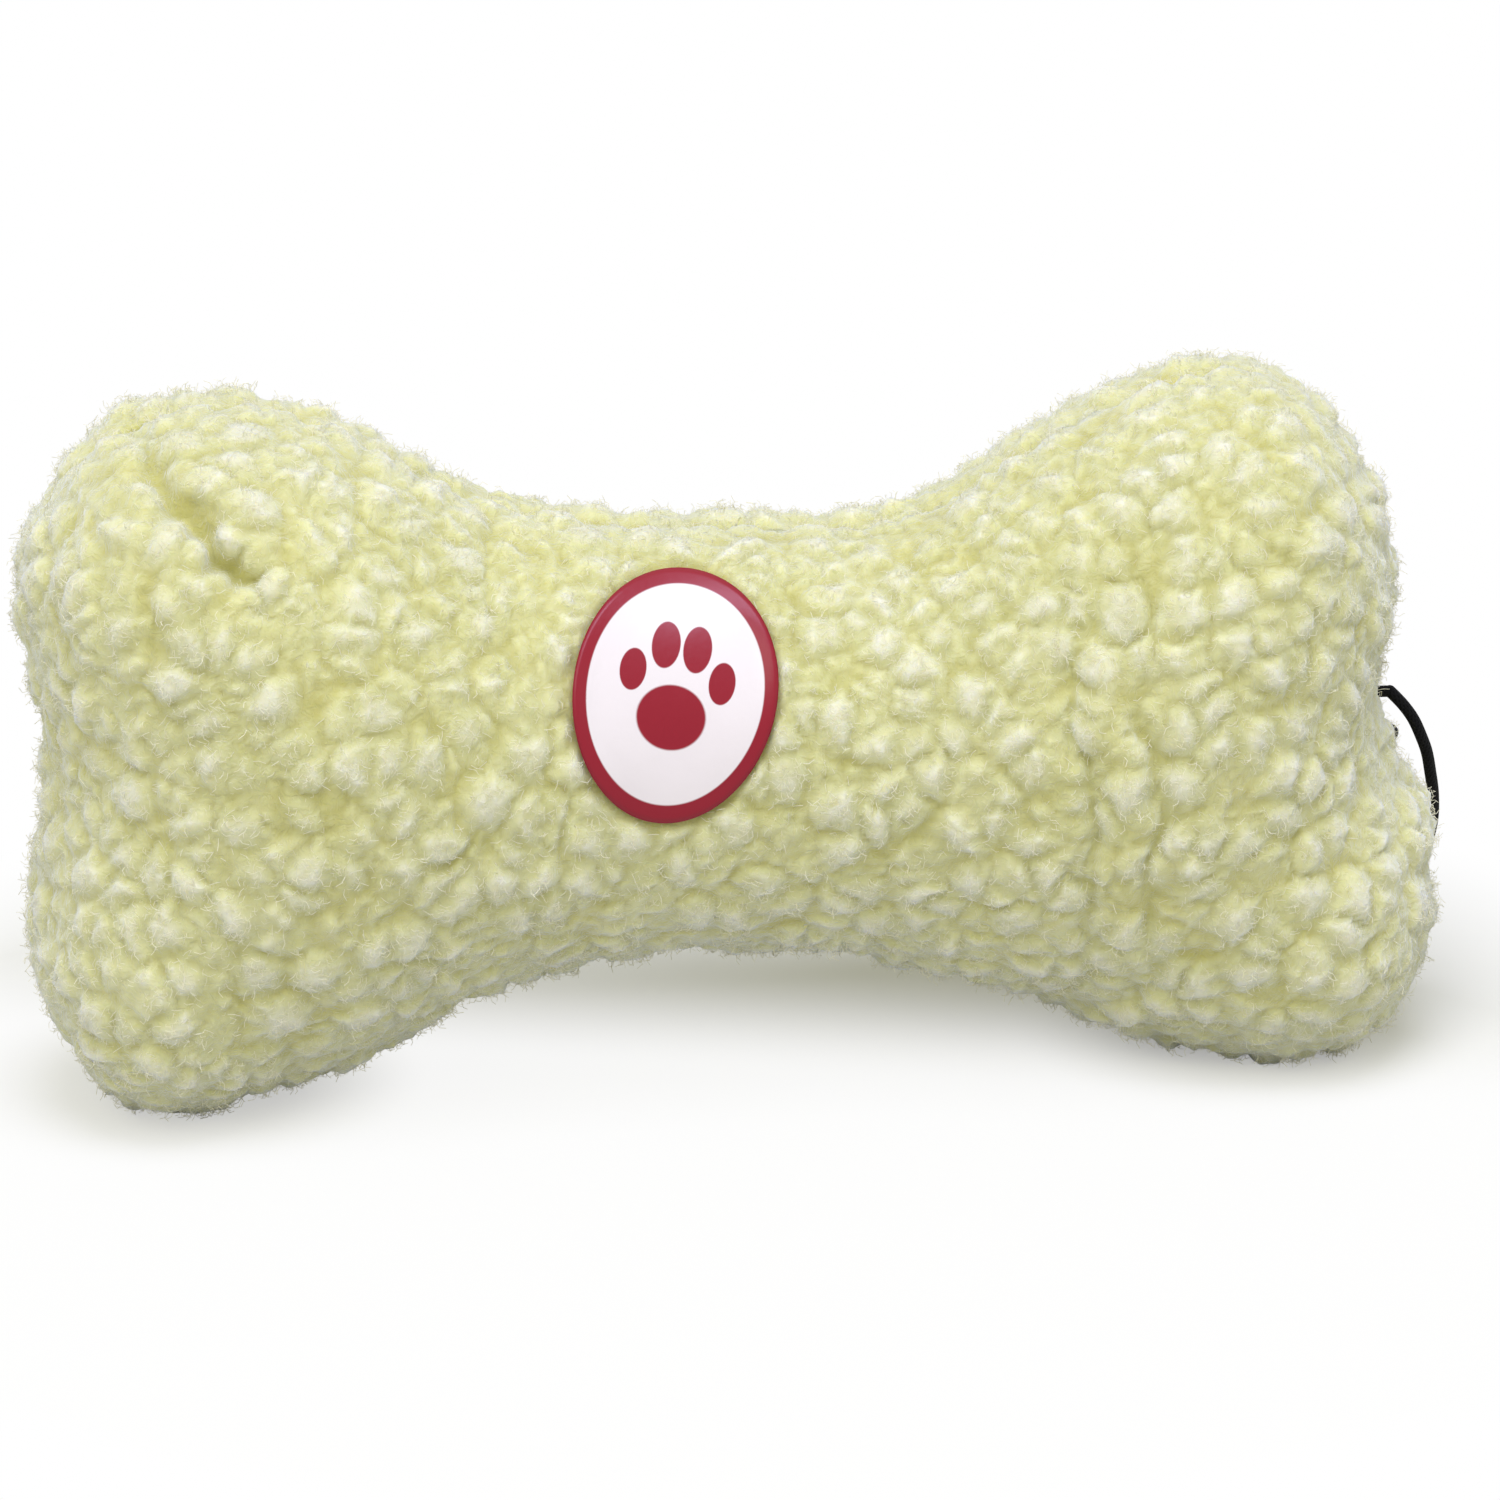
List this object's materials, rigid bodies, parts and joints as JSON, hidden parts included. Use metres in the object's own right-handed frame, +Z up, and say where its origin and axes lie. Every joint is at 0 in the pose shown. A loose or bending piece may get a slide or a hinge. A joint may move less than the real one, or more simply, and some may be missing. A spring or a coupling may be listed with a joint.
{
  "type": "squeaky plush bone dog toy",
  "caption": "Stuffed sherpa fleece bone on its two lower lobes, with a squeaker and reed inside the waist, an elastic hang loop in one end and an oval sticker on the front.",
  "frame": {"origin": "on the floor under the middle of the bone, where it stands on its two lower lobes", "axes": "+X along the bone to the end with the hang loop, +Y from the sticker side to the back, +Z up"},
  "size_m": [0.2352, 0.0776, 0.1159],
  "materials": {
    "sherpa_fleece": "curly cream pile",
    "sewing_thread": "spun thread",
    "fibre_filling": "loose white fibre",
    "bulb_plastic": "soft milky plastic",
    "reed_plastic": "moulded white plastic",
    "reed_film": "thin amber film",
    "black_elastic": "braided black elastic",
    "sticker_paper": "glossy white paper with a red border"
  },
  "bodies": {
    "back_cover": {"back_fleece_panel": "sherpa_fleece", "seam_overlock": "sewing_thread", "closing_ladder_stitch": "sewing_thread", "filling_upper_left": "fibre_filling", "filling_lower_left": "fibre_filling", "filling_upper_right": "fibre_filling", "filling_lower_right": "fibre_filling", "filling_waist_front": "fibre_filling", "filling_waist_back": "fibre_filling", "squeaker_bulb": "bulb_plastic", "reed_housing": "reed_plastic", "reed_base": "reed_plastic", "reed_clamp": "reed_plastic", "hang_loop_knot": "black_elastic"},
    "front_cover": {"front_fleece_panel": "sherpa_fleece", "oval_sticker": "sticker_paper"},
    "reed": {"reed_tongue": "reed_film"},
    "loop": {"hang_loop": "black_elastic"}
  },
  "joints": [
    {"name": "squeeze", "type": "slide", "parent": "back_cover", "child": "front_cover", "axis": [0, 1, 0], "range_m": [0, 0.014], "stiffness_N_per_m": 700, "deforming": ["front_fleece_panel", "filling_upper_left", "filling_lower_left", "filling_upper_right", "filling_lower_right", "filling_waist_front", "filling_waist_back", "squeaker_bulb"]},
    {"name": "reed_flutter", "type": "hinge", "parent": "back_cover", "child": "reed", "pos_m": [0.01558, 0, 0.0573], "axis": [0, 1, 0], "range_deg": [-4, 4], "stiffness_Nm_per_rad": 0.00002},
    {"name": "loop_swing", "type": "hinge", "parent": "back_cover", "child": "loop", "pos_m": [0.10758, 0, 0.0566], "axis": [0, 0, 1], "range_deg": [-95, 0]}
  ]
}
